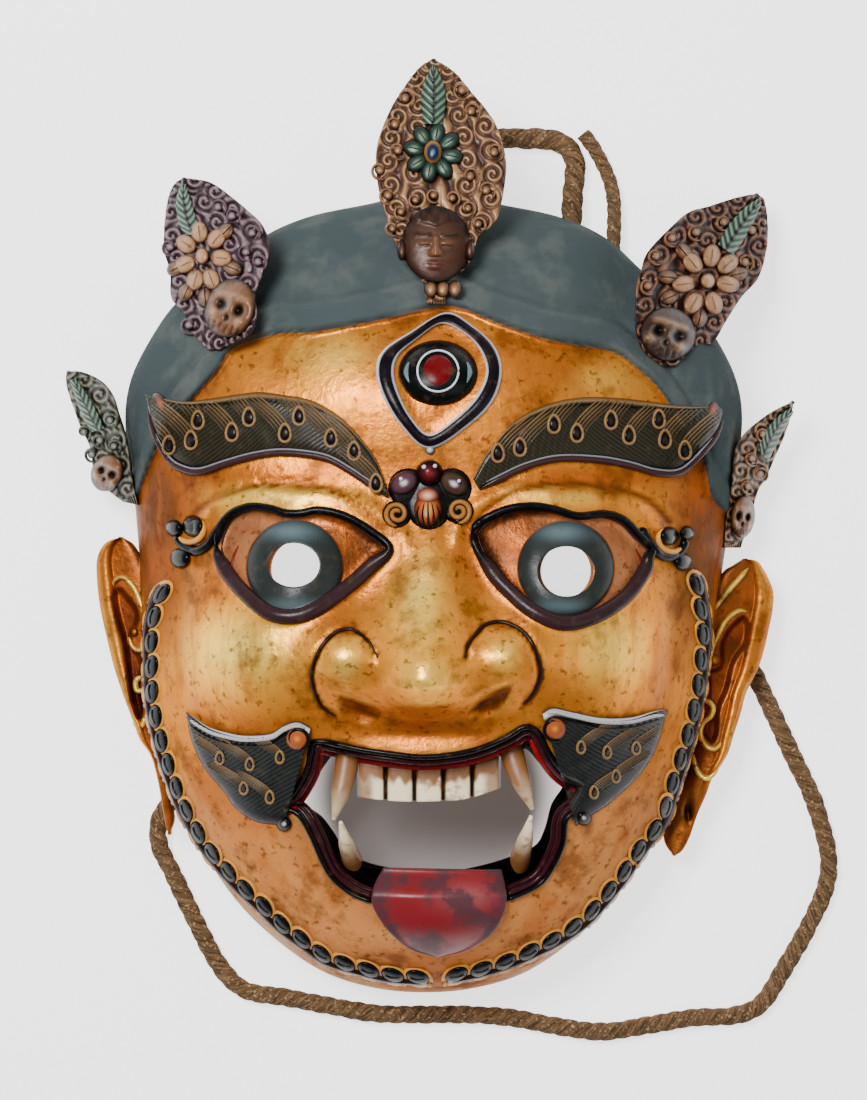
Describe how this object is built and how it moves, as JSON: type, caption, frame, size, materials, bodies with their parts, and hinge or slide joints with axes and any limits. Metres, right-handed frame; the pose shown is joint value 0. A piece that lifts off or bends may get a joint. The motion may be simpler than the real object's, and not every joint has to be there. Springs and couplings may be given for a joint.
{
  "type": "gilt bronze mask",
  "caption": "Hollow gilt bronze mask of a fierce three-eyed guardian with bared teeth, a crown of five leaves, long ears and a jute rope, lying face up.",
  "frame": {"origin": "middle of the box of the mask with its crown and ears, without its cords, on the plane of the back rim", "axes": "+Z out of the face, +Y towards the crown, +X to the right of someone who looks at the face"},
  "size_m": [0.3557, 0.4471, 0.1466],
  "materials": {
    "gilt_bronze": "worn satin gilding with painted hair, brows and lips",
    "dark_painted_bronze": "dark cold paint over cast bronze",
    "tooth_paint": "worn cream paint",
    "red_lacquer": "gloss red lacquer, worn",
    "jute": "rough twisted natural fibre"
  },
  "bodies": {
    "root": {"mask": "gilt_bronze", "ear_left": "gilt_bronze", "ear_right": "gilt_bronze", "crown_leaf_centre": "dark_painted_bronze", "crown_leaf_left_inner": "dark_painted_bronze", "crown_leaf_right_inner": "dark_painted_bronze", "crown_leaf_left_outer": "dark_painted_bronze", "crown_leaf_right_outer": "dark_painted_bronze", "upper_teeth": "tooth_paint", "lower_fang_left": "tooth_paint", "lower_fang_right": "tooth_paint", "tongue": "red_lacquer", "rope": "jute", "hanging_loop": "jute", "loop_tail": "jute", "rope_knot_left": "jute", "rope_knot_right": "jute", "loop_knot_left": "jute", "loop_knot_right": "jute", "tail_knot": "jute"}
  },
  "joints": []
}
